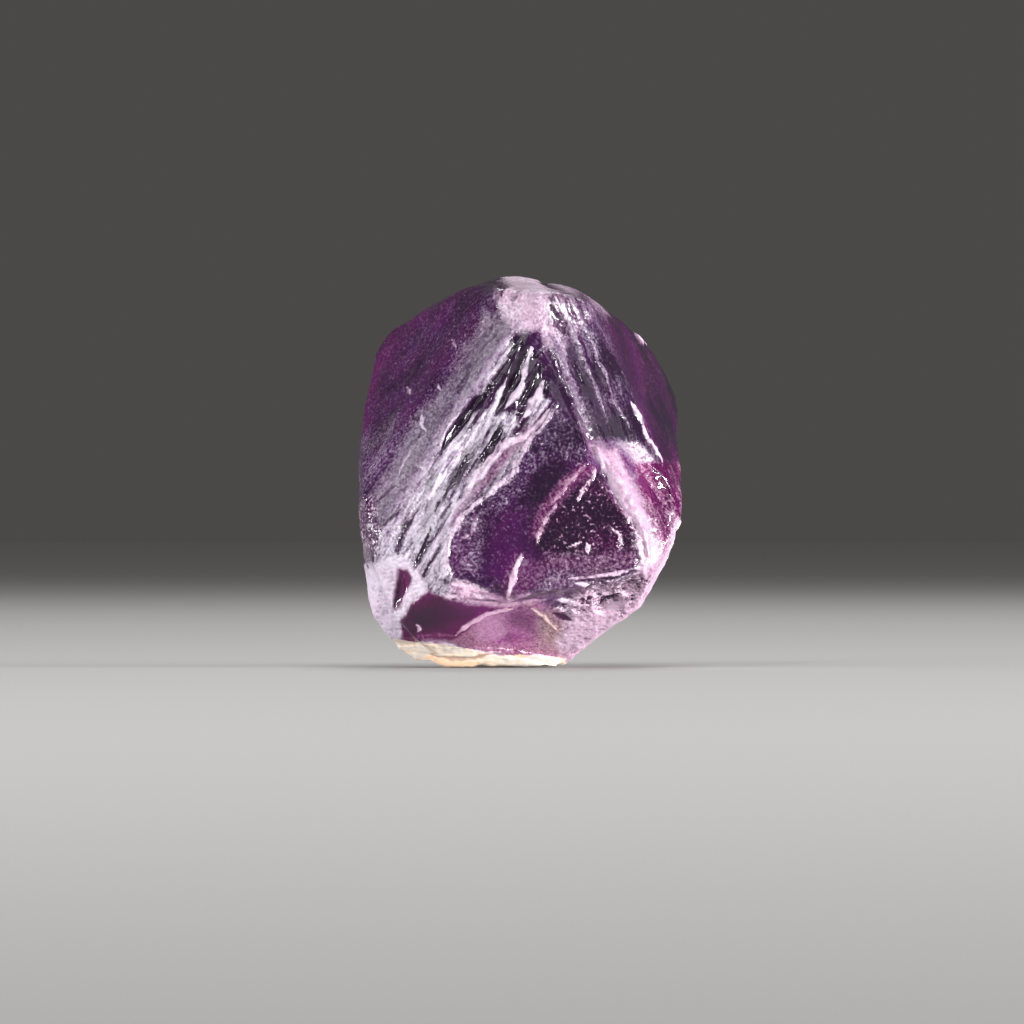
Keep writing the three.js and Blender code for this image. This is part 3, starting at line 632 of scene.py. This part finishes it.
def colour_property(name, description, default):
    """A property that holds a colour."""
    return FloatVectorProperty(
        name=name, description=description, default=default, subtype="COLOR", size=3, min=0, max=1,
    )


def share_property(name, description, default, least=0.0):
    """A property that holds a share between 0 and 1."""
    return FloatProperty(
        name=name, description=description, default=default, subtype="FACTOR", min=least, max=1,
    )


class SpinelShapeSettings(PropertyGroup):
    cell: FloatProperty(
        name="Cell", description="Size of the cells of the crystal's surface",
        default=0.09 * MM, min=0.05 * MM, unit="LENGTH", precision=6,
    )
    front_cuts: IntProperty(
        name="Front Cuts", description="How often each cell on the front is cut", default=1, min=0, max=2,
    )
    rear_share: share_property("Rear Share", "Share of the cells that the rear keeps", 0.5, 0.1)
    grain: FloatProperty(
        name="Grain", description="Height of the grain on frosted places",
        default=0.012 * MM, unit="LENGTH", precision=6,
    )


class SpinelFinishSettings(PropertyGroup):
    window: colour_property("Window", "Colour of the clear faces", (0.08, 0.01, 0.1))
    wine: colour_property("Wine", "Colour of the warm clear places", (0.15, 0.0035, 0.09))
    cool_frost: colour_property("Cool Frost", "Colour of the bluish frosted places", (0.7, 0.625, 0.745))
    pink_frost: colour_property("Pink Frost", "Colour of the warm frosted places", (0.92, 0.55, 0.76))
    beige_frost: colour_property("Beige Frost", "Colour of the stained frosted places", (0.85, 0.6, 0.5))
    # Dark colour that shade mixes in: the dark tone of clear places, and painted shade in valleys, pits and
    # the grain's low spots.
    hollow: colour_property("Hollow", "Colour of the dark hollows", (0.018, 0.008, 0.022))
    crust: colour_property("Crust", "Colour of the crust under the foot", (0.375, 0.332, 0.298))
    crust_layer: colour_property("Crust Layer", "Colour of the crust's darker layers", (0.5, 0.38, 0.28))
    crust_gap: colour_property("Crust Gap", "Colour of the gaps in the crust", (0.16, 0.1, 0.08))
    stain: colour_property("Stain", "Colour of the stains on the crust", (0.5, 0.32, 0.2))
    clearness: share_property("Clearness", "Share of the light that goes through the surface", 0.56, 0.5)
    refraction: FloatProperty(
        name="Refraction", description="Index of refraction of spinel", default=1.718, min=1, max=3,
    )
    depth_colour: colour_property("Depth Colour", "Colour that light takes on inside", (0.62, 0.3, 0.68))
    depth_density: FloatProperty(
        name="Depth Density", description="How fast light is taken up inside the crystal, per metre",
        default=350.0, min=0,
    )
    mirror: share_property("Mirror", "Strength of the mirroring, where 0.5 is that of the real index", 0.1)
    polish: share_property("Polish", "Roughness of the clear faces", 0.12)
    matt: share_property("Matt", "Roughness of the frosted places", 0.5)


class SpinelStageSettings(PropertyGroup):
    floor: colour_property("Floor", "Colour of the floor", (0.3, 0.295, 0.29))
    surround: colour_property("Surround", "Colour of the room's soft light", (0.07, 0.067, 0.065))
    haze: share_property("Haze", "Share of the room's light that the floor gives off", 0.7)
    floor_size: FloatProperty(
        name="Floor Size", description="Width and depth of the floor", default=3.0, min=1, unit="LENGTH",
    )
    lens: FloatProperty(name="Lens", description="Focal length in millimetres", default=400.0, min=1)


def merged_copy(source, name):
    """A copy of a CAD node's mesh, with its loose triangles merged."""
    bpy.ops.object.select_all(action="DESELECT")
    source.select_set(True)
    bpy.context.view_layer.objects.active = source
    bpy.ops.object.duplicate()
    piece = bpy.context.view_layer.objects.active
    for key in list(piece.keys()):
        del piece[key]
    piece.name = name
    piece.data.name = name
    piece.parent = None
    piece.data.materials.clear()
    bpy.ops.object.mode_set(mode="EDIT")
    bpy.ops.mesh.select_all(action="SELECT")
    bpy.ops.mesh.remove_doubles(threshold=MERGE_DISTANCE)
    bpy.ops.object.mode_set(mode="OBJECT")
    return piece


def apply_modifier(piece, name, kind, **values):
    """Adds a modifier of one kind, sets its values and applies it."""
    modifier = piece.modifiers.new(name, kind)
    for key, value in values.items():
        setattr(modifier, key, value)
    bpy.ops.object.modifier_apply(modifier=name)


def select_points(piece, name, weights):
    """Keeps weights for the points of a mesh as a vertex group, for modifiers to use."""
    group = piece.vertex_groups.new(name=name)
    for index, weight in enumerate(weights):
        if weight > LEAST_WEIGHT:
            group.add((index,), float(weight), "REPLACE")
    return name


def wear(piece, name, weights, rounds):
    """Rounds the mesh as much as the weights of its points say."""
    apply_modifier(piece, name, "SMOOTH", factor=0.5, iterations=rounds,
                   vertex_group=select_points(piece, name, weights))


def refine_front(piece, cuts):
    """Cuts the cells that face the front into smaller ones."""
    for polygon in piece.data.polygons:
        polygon.select = -polygon.normal.y > FACING_FRONT["cut cells"]
    bpy.ops.object.mode_set(mode="EDIT")
    bpy.ops.mesh.select_mode(type="FACE")
    bpy.ops.mesh.subdivide(number_cuts=cuts)
    bpy.ops.object.mode_set(mode="OBJECT")


class Surface:
    """The points of the crystal's surface as arrays, in millimetres, with the finish of each."""

    def __init__(self, mesh):
        count = len(mesh.vertices)
        self.mesh = mesh
        self.points = np.empty(count * 3)
        self.normals = np.empty(count * 3)
        self.edges = np.empty(len(mesh.edges) * 2, np.int64)
        mesh.vertices.foreach_get("co", self.points)
        mesh.vertices.foreach_get("normal", self.normals)
        mesh.edges.foreach_get("vertices", self.edges)
        self.points = self.points.reshape(-1, 3) / MM
        self.normals = self.normals.reshape(-1, 3)
        self.edges = self.edges.reshape(-1, 2)
        self.seen = seen_from_front(self.points)
        broad = spread_along_edges(self.normals, self.edges, BROAD_ROUNDS)
        self.broad = broad / np.linalg.norm(broad, axis=1)[:, None]
        self.faces_front = smooth_step(*FACING_FRONT["painted points"], -self.broad[:, 1])
        self.finish = {name: np.zeros(count) for name in FINISH_LAYERS}
        self.rise = np.zeros(count)

    def paint(self, share, **finish):
        """Moves the named layers of the finish towards the given values, by a share at each point."""
        for name, value in finish.items():
            self.finish[name] += share * (value - self.finish[name])

    def relief_of_bands(self):
        """Fine ridges along the growth bands and flakes on crushed places, which also change the finish.

        They add frost, and painted shade in the valleys between ridges and in the pits among flakes.
        """
        flow = flow_of(self)
        flow[:, 0] += noise_at(flow, "bend of the bands")
        ridges = np.zeros(len(flow))
        for across, along, share in BAND_RIDGES:
            waves = waves_at(flow, (across, along, BAND_WAVES_INWARDS), BAND_SEED * across)
            ridges += share * np.clip(1 - CREST * np.abs(waves), -1, 1)
        flakes = noise_at(self.points, "coarse flakes") + noise_at(self.points, "small flakes")
        creases = np.abs(noise_at(self.points, "creases between flakes"))
        flakes += CREASE_SHARE * (CREASE_LEVEL - CREST * creases)
        banding = self.finish["banding"]
        flaking = self.finish["flaking"]
        height = FLAKES_ON_CLEAR + (1 - FLAKES_ON_CLEAR) * self.finish["frost"]
        self.finish["frost"] += (
            BANDING["frost"] * banding * ridges + FLAKING["frost"] * flaking * flakes * height
        )
        # Painted shade in the valleys between ridges and in the pits among flakes.
        valley_shade = np.clip(-ridges, 0, 1)
        pit_shade = np.clip(-flakes - PIT_DEPTH, 0, 1)
        self.finish["shade"] += BANDING["shade"] * banding * valley_shade + flaking * pit_shade
        self.rise += noise_at(self.points, "swell")
        self.rise += BANDING["rise"] * banding * ridges + FLAKING["rise"] * flaking * flakes * height
        for name in ("frost", "warmth", "shade"):
            self.finish[name] = np.clip(self.finish[name], 0, 1)

    def level_window(self):
        """Brings the points of the inner window up to the plane of the topmost growth layer."""
        window = next(field for field in FIELDS if field.name == "inner window")
        share = smooth_step(*WINDOW_EDGE, outline_distance(self.seen, window.outline)) * self.faces_front
        forward = face_directions()[FRONT_FACE]
        height = self.points @ forward
        top = np.percentile(height[share > WELL_INSIDE], TOP_LAYER_PERCENTILE)
        self.points += (share * (top - height))[:, None] * forward
        self.mesh.vertices.foreach_set("co", (self.points * MM).ravel())
        self.mesh.update()

    def store(self, name, values):
        """Keeps one number for each point on the mesh."""
        attribute = self.mesh.attributes.new(name, "FLOAT", "POINT")
        attribute.data.foreach_set("value", values.astype(np.float32))

    def lift(self, height):
        """Moves the points out along the surface's broad direction, by a height in millimetres.

        None of them goes below the floor, and the left corner of the crust's underside is worn off.
        """
        self.points += height[:, None] * self.broad
        worn_corner = WORN_CORNER["height"] * smooth_step(*WORN_CORNER["to the left"], -self.points[:, 0])
        self.points[:, 2] = np.maximum(self.points[:, 2], worn_corner)
        self.mesh.vertices.foreach_set("co", (self.points * MM).ravel())
        self.mesh.update()


def paint_faces(surface):
    """Clear flat faces, with frosted edges, steps and breaks."""
    flatness = np.minimum(flatness_of(surface.normals), flatness_of(surface.broad))
    uneven = noise_at(surface.points, "uneven wear")
    fine = noise_at(surface.points, "fine wear")
    edge = 1 - smooth_step(*FLAT["frost"], flatness)
    edge_frost = EDGE_FROST["mean"] + EDGE_FROST["uneven"] * uneven + EDGE_FROST["fine"] * fine
    surface.paint(
        np.ones(len(edge)),
        frost=FACES["frost"] + edge * np.clip(edge_frost, EDGE_FROST["least"], 1),
        warmth=FACES["warmth"][0] + FACES["warmth"][1] * uneven,
        shade=FACES["shade"][0] + FACES["shade"][1] * fine,
        flaking=EDGE_FLAKING["most"] * edge * smooth_step(*EDGE_FLAKING["between"], uneven),
    )


def paint_front(surface):
    """The fields and streaks of the front."""
    wander = np.stack([
        sum(pixels * waves_at(surface.points, waves, seed) for waves, pixels in OUTLINE_WANDER)
        for seed in WANDER_SEEDS
    ], axis=1)
    seen = surface.seen + wander
    for field in FIELDS:
        depth = outline_distance(seen, field.outline)
        share = smooth_step(-field.fade, field.fade, depth) * surface.faces_front
        surface.paint(share, **{name: getattr(field, name) for name in FINISH_LAYERS})
    surface.finish["shade"] += noise_at(surface.points, "dark clouds") * (1 - surface.finish["frost"])
    surface.finish["warmth"] += noise_at(surface.points, "warm clouds")
    surface.relief_of_bands()
    width_change = 1 + noise_at(surface.points, "width of the streaks")
    gaps = np.clip(STREAK_STRENGTH["mean"] + noise_at(surface.points, "gaps in the streaks"),
                   STREAK_STRENGTH["least"], 1)
    for streak in STREAKS:
        share = streak_fullness(seen, streak.path, streak.width * width_change, streak.edge)
        share *= surface.faces_front * gaps
        surface.paint(share, frost=streak.frost, warmth=streak.warmth, shade=streak.shade)
        calm = 1 - DARK_STREAK_CALM * share * streak.shade
        surface.finish["banding"] *= calm
        surface.rise = surface.rise * calm + share * streak.rise


def flow_of(surface):
    """Coordinates across and along the growth bands, and through the crystal."""
    x, y, z = surface.points.T
    right = surface.seen[:, 0] > DIVIDE["x"] + DIVIDE["slope"] * (surface.seen[:, 1] - DIVIDE["y"])
    along_x = np.where(right, RIGHT_BAND_DIRECTION[0], LEFT_BAND_DIRECTION[0])
    along_z = np.where(right, RIGHT_BAND_DIRECTION[1], LEFT_BAND_DIRECTION[1])
    across = x * -along_z + z * along_x
    along = x * along_x + z * along_z
    return np.stack((across, along, y), axis=1)


def is_crust(points):
    """Which points in millimetres lie on the crust under the foot."""
    front = outline_distance(seen_from_front(points), CRUST_OUTLINE) > 0
    within = (points[:, 1] < CRUST_REACH["back"]) & (points[:, 2] < CRUST_REACH["up"])
    return (front & within) | (points[:, 2] < CRUST_REACH["up all round"])


def build_crystal(shape):
    """The crystal's mesh, with its relief and its finish kept on its points."""
    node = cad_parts[NODE]
    piece = merged_copy(node, "spinel_surface")
    apply_modifier(piece, "even cells", "REMESH", mode="VOXEL", voxel_size=shape.cell)
    ahead = FACING_FRONT["small cells"]
    rear = [0.0 if -vertex.normal.y > ahead else 1.0 for vertex in piece.data.vertices]
    apply_modifier(piece, "larger cells at the rear", "DECIMATE", ratio=shape.rear_share,
                   vertex_group=select_points(piece, "rear", rear))
    refine_front(piece, shape.front_cuts)
    apply_modifier(piece, "wear", "SMOOTH", factor=0.5, iterations=2)
    apply_modifier(piece, "fit", "SHRINKWRAP", target=node, wrap_method="NEAREST_SURFACEPOINT")
    surface = Surface(piece.data)
    surface.level_window()
    height = surface.points[:, 2]
    edges = 1 - smooth_step(*FLAT["wear"], flatness_of(surface.broad))
    wear(piece, "worn edges", edges * smooth_step(*WEAR_HEIGHTS["edges"], height), WEAR_ROUNDS["edges"])
    wear(piece, "rounded cap", smooth_step(*WEAR_HEIGHTS["cap"], height), WEAR_ROUNDS["cap"])
    low = 1 - smooth_step(*WEAR_HEIGHTS["foot"], height)
    wear(piece, "rounded foot", low * surface.faces_front, WEAR_ROUNDS["foot"])
    apply_modifier(piece, "soft edges", "SMOOTH", factor=0.4, iterations=1)
    surface = Surface(piece.data)
    paint_faces(surface)
    paint_front(surface)
    grain = noise_at(surface.points, "grain")
    lost_height = CAP_REGAIN["height"] * smooth_step(*CAP_REGAIN["between"], surface.points[:, 2])
    surface.lift(surface.rise + lost_height + grain * surface.finish["frost"] * shape.grain / MM)
    for name, values in surface.finish.items():
        surface.store(name, values)
    attribute = piece.data.attributes.new("flow", "FLOAT_VECTOR", "POINT")
    attribute.data.foreach_set("vector", (flow_of(surface) * MM).astype(np.float32).ravel())
    centres = np.array([polygon.center for polygon in piece.data.polygons]) / MM
    piece.data.polygons.foreach_set("material_index", is_crust(centres).astype(np.int32))
    bpy.ops.object.shade_smooth()
    return piece


class Tree:
    """A new material's node tree, with short ways to add to it."""

    def __init__(self, name):
        self.material = bpy.data.materials.new(name)
        self.material.use_nodes = True
        self.nodes = self.material.node_tree.nodes
        self.nodes.clear()
        self.output = self.nodes.new("ShaderNodeOutputMaterial")

    def feed(self, socket, value):
        """Links a socket to an output, or sets its value. A colour comes without its alpha."""
        if isinstance(value, bpy.types.NodeSocket):
            self.material.node_tree.links.new(value, socket)
        elif socket.type == "RGBA":
            socket.default_value = (*value, 1)
        else:
            socket.default_value = value

    def add(self, kind, inputs=None, **properties):
        """A node with the given properties, whose inputs are fed by number or name."""
        node = self.nodes.new(kind)
        for key, value in properties.items():
            setattr(node, key, value)
        for key, value in (inputs or {}).items():
            self.feed(node.inputs[key], value)
        return node

    def mix(self, share, low, high):
        """The output of a mix of two colours, by a share."""
        return self.add("ShaderNodeMix", {"Factor": share, 6: low, 7: high}, data_type="RGBA").outputs[2]

    def calculate(self, operation, *values, clamp=False):
        """The output of a math node on sockets and numbers."""
        inputs = dict(enumerate(values))
        return self.add("ShaderNodeMath", inputs, operation=operation, use_clamp=clamp).outputs[0]

    def strength(self, value, name):
        """The strength that one of the named lines gives for a value."""
        return self.calculate("MULTIPLY_ADD", value, *STRENGTHS[name])

    def ramp(self, value, low, high, first=0.0, last=1.0, **properties):
        """A value's place between low and high, as a number from first to last."""
        inputs = {"Value": value, "From Min": low, "From Max": high, "To Min": first, "To Max": last}
        return self.add("ShaderNodeMapRange", inputs, **properties).outputs[0]

    def noise(self, vector, name):
        """One of the finish's noises on a vector, round 0."""
        scale, detail, spread = FINISH_NOISES[name]
        texture = self.add("ShaderNodeTexNoise", {
            "Vector": vector, "Scale": scale / MM, "Detail": detail, "Roughness": 0.65,
        })
        return self.calculate("MULTIPLY_ADD", texture.outputs["Fac"], spread, -spread / 2)


def crystal_material(finish):
    """See-through purple spinel whose faces go from polished to frosted."""
    tree = Tree("spinel")
    read = {name: tree.add("ShaderNodeAttribute", attribute_name=name) for name in (*FINISH_LAYERS, "flow")}
    frost, warmth, shade, banding, flaking, beige = (read[name].outputs["Fac"] for name in FINISH_LAYERS)
    place = tree.nodes.new("ShaderNodeTexCoord").outputs["Object"]
    flow = tree.add("ShaderNodeMapping", {"Vector": read["flow"].outputs["Vector"], "Scale": BAND_STRETCH})
    streak = tree.calculate("MULTIPLY", tree.noise(flow.outputs[0], "streak"), banding)
    grit = tree.strength(flaking, "grain of flaking places")
    push = tree.calculate("MULTIPLY_ADD", tree.noise(place, "grain"), grit, streak)
    mixed = tree.calculate("MULTIPLY", tree.calculate("SUBTRACT", 1.0, frost), frost)
    push = tree.calculate("MULTIPLY", push, tree.strength(mixed, "grain between clear and frosted"))
    # Bright flecks, most where flaking is high: painted glints that sparkle in the dark clear fields, and
    # pale specks of frost on crushed places.
    specks = tree.calculate("MULTIPLY_ADD", flaking, SPECKS_OF_FLAKING, tree.noise(place, "specks"))
    fleck = tree.ramp(specks, *SPECK_AND_GLINT_RAMP, interpolation_type="SMOOTHSTEP")
    speck_and_glint_strength = tree.strength(tree.calculate("MULTIPLY", flaking, flaking), "specks and glints of flaking places")
    fleck = tree.calculate("MULTIPLY", fleck, speck_and_glint_strength)
    whole = tree.calculate("ADD", tree.strength(frost, "whiteness of frost"), push)
    whole = tree.calculate("ADD", whole, fleck, clamp=True)
    clear = tree.mix(warmth, finish.window, finish.wine)
    white = tree.mix(warmth, finish.cool_frost, finish.pink_frost)
    white = tree.mix(beige, white, finish.beige_frost)
    colour = tree.mix(whole, clear, white)
    # Painted shade: the shade layer, deepened where the grain's bumps are low, and lifted under the bright
    # flecks.
    hollow = tree.calculate("MULTIPLY_ADD", push, tree.strength(shade, "painted shade that grain opens"), 1.0)
    hollow = tree.calculate("SUBTRACT", tree.calculate("MULTIPLY", hollow, shade), fleck, clamp=True)
    calm = tree.strength(frost, "bumps of frost")
    bump = tree.add("ShaderNodeBump", {
        "Strength": 1.0, "Distance": BUMP_HEIGHT, "Height": tree.calculate("MULTIPLY", push, calm),
    })
    shader = tree.add("ShaderNodeBsdfPrincipled", {
        "Base Color": tree.mix(hollow, colour, finish.hollow),
        "Roughness": tree.ramp(frost, *FROST_RAMP, finish.polish, finish.matt),
        "Normal": bump.outputs[0],
        "Transmission Weight": finish.clearness,
        "IOR": finish.refraction,
        "Specular IOR Level": finish.mirror,
    })
    absorption = tree.add("ShaderNodeVolumeAbsorption", {
        "Color": finish.depth_colour, "Density": finish.depth_density,
    })
    tree.feed(tree.output.inputs["Surface"], shader.outputs[0])
    tree.feed(tree.output.inputs["Volume"], absorption.outputs[0])
    return tree.material


def crust_material(finish):
    """Cream crust in thin layers with a brown stain, opaque and dry."""
    tree = Tree("crust")
    place = tree.nodes.new("ShaderNodeTexCoord").outputs["Object"]
    lying = tree.add("ShaderNodeMapping", {"Vector": place, "Scale": CRUST_STRETCH})
    layers = tree.add("ShaderNodeTexNoise", {
        "Vector": lying.outputs[0], "Scale": CRUST_SCALE, "Detail": 4.0, "Roughness": 0.6,
    }).outputs["Fac"]
    stain, gap = (
        tree.add("ShaderNodeAttribute", attribute_name=name).outputs["Fac"] for name in ("warmth", "shade")
    )
    cream = tree.mix(tree.ramp(layers, *CRUST_RAMP), finish.crust_layer, finish.crust)
    stained = tree.mix(stain, cream, finish.stain)
    bump = tree.add("ShaderNodeBump", {"Strength": 0.8, "Distance": CRUST_BUMP_HEIGHT, "Height": layers})
    shader = tree.add("ShaderNodeBsdfPrincipled", {
        "Base Color": tree.mix(gap, stained, finish.crust_gap), "Roughness": 0.7, "Normal": bump.outputs[0],
    })
    tree.feed(tree.output.inputs["Surface"], shader.outputs[0])
    return tree.material


def floor_material(stage):
    """Plain matt floor that fades into the room's soft light far away."""
    tree = Tree("floor")
    shader = tree.add("ShaderNodeBsdfPrincipled", {
        "Base Color": stage.floor, "Roughness": 0.9, "Specular IOR Level": 0.1,
        "Emission Color": stage.surround, "Emission Strength": stage.haze,
    })
    tree.feed(tree.output.inputs["Surface"], shader.outputs[0])
    return tree.material


class OBJECT_OT_spinel_crystal(Operator):
    """Make the crystal's worn, banded and frosted surface"""

    bl_idname = "object.spinel_crystal"
    bl_label = "Spinel Crystal"

    def execute(self, context):
        settings = context.scene
        piece = build_crystal(settings.spinel_shape)
        piece.data.materials.append(crystal_material(settings.spinel_finish))
        piece.data.materials.append(crust_material(settings.spinel_finish))
        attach(piece, "root")
        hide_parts(NODE)
        piece.data.calc_loop_triangles()
        print("crystal", len(piece.data.loop_triangles), "triangles")
        return {"FINISHED"}


def add_area_light(name, place, target, size, power):
    """A soft light of a width and height at a place, turned to a target."""
    bpy.ops.object.light_add(type="AREA", location=place)
    light = bpy.context.active_object
    light.name = name
    light.data.shape = "RECTANGLE"
    light.data.size, light.data.size_y = size
    light.data.energy = power
    light.rotation_euler = (Vector(target) - Vector(place)).to_track_quat("-Z", "Y").to_euler()


def turned(azimuth, elevation, distance):
    """A place round the crystal: azimuth 0 is in front of it and 90 on its right, in degrees."""
    around, up = math.radians(azimuth), math.radians(elevation)
    flat = distance * math.cos(up)
    return Vector((flat * math.sin(around), -flat * math.cos(around), distance * math.sin(up)))


class SCENE_OT_spinel_stage(Operator):
    """Make the floor, the studio light and the camera"""

    bl_idname = "scene.spinel_stage"
    bl_label = "Spinel Stage"

    def execute(self, context):
        stage = context.scene.spinel_stage
        bpy.ops.object.select_all(action="DESELECT")
        bpy.ops.mesh.primitive_plane_add(size=stage.floor_size)
        floor = context.active_object
        floor.name = "floor"
        floor.data.materials.append(floor_material(stage))
        middle = Vector((0, 0, (CAD_BOX[0].z + CAD_BOX[1].z) / 2))
        for name, azimuth, elevation, distance, size, power in LIGHTS:
            add_area_light(name, middle + turned(azimuth, elevation, distance), middle, size, power)
        world = bpy.data.worlds.new("room")
        world.use_nodes = True
        world.node_tree.nodes["Background"].inputs["Color"].default_value = (*stage.surround, 1)
        context.scene.world = world
        width = PICTURE_WIDTH / PIXELS_PER_MM * MM
        distance = width * stage.lens / SENSOR_WIDTH
        aim = Vector((
            (PICTURE_CENTRE - PICTURE_MIDDLE) / PIXELS_PER_MM * MM, 0,
            (PICTURE_FOOT - PICTURE_CENTRE) / PIXELS_PER_MM * MM,
        ))
        bpy.ops.object.camera_add(location=aim - Vector((0, distance, 0)), rotation=(math.pi / 2, 0, 0))
        camera = context.active_object
        camera.data.sensor_width = SENSOR_WIDTH
        camera.data.lens = stage.lens
        camera.data.clip_start, camera.data.clip_end = CAMERA_REACH
        context.scene.camera = camera
        context.scene.view_settings.view_transform = "Standard"
        return {"FINISHED"}


class VIEW3D_PT_spinel(Panel):
    """The crystal's settings and the buttons that make it"""

    bl_label = "Spinel"
    bl_space_type = "VIEW_3D"
    bl_region_type = "UI"
    bl_category = "Spinel"

    def draw(self, context):
        for key in GROUPS:
            group = getattr(context.scene, key)
            box = self.layout.box()
            for name in group.__annotations__:
                box.prop(group, name)
        for operator in OPERATORS:
            self.layout.operator(operator.bl_idname)


OPERATORS = (OBJECT_OT_spinel_crystal, SCENE_OT_spinel_stage)
GROUPS = {
    "spinel_shape": SpinelShapeSettings,
    "spinel_finish": SpinelFinishSettings,
    "spinel_stage": SpinelStageSettings,
}
CLASSES = (*GROUPS.values(), *OPERATORS, VIEW3D_PT_spinel)


def register():
    for cls in CLASSES:
        bpy.utils.register_class(cls)
    for name, group in GROUPS.items():
        setattr(bpy.types.Scene, name, PointerProperty(type=group))


def unregister():
    for name in GROUPS:
        delattr(bpy.types.Scene, name)
    for cls in reversed(CLASSES):
        bpy.utils.unregister_class(cls)


def main():
    register()
    bpy.ops.object.spinel_crystal()
    bpy.ops.scene.spinel_stage()


if __name__ == "__main__":
    main()
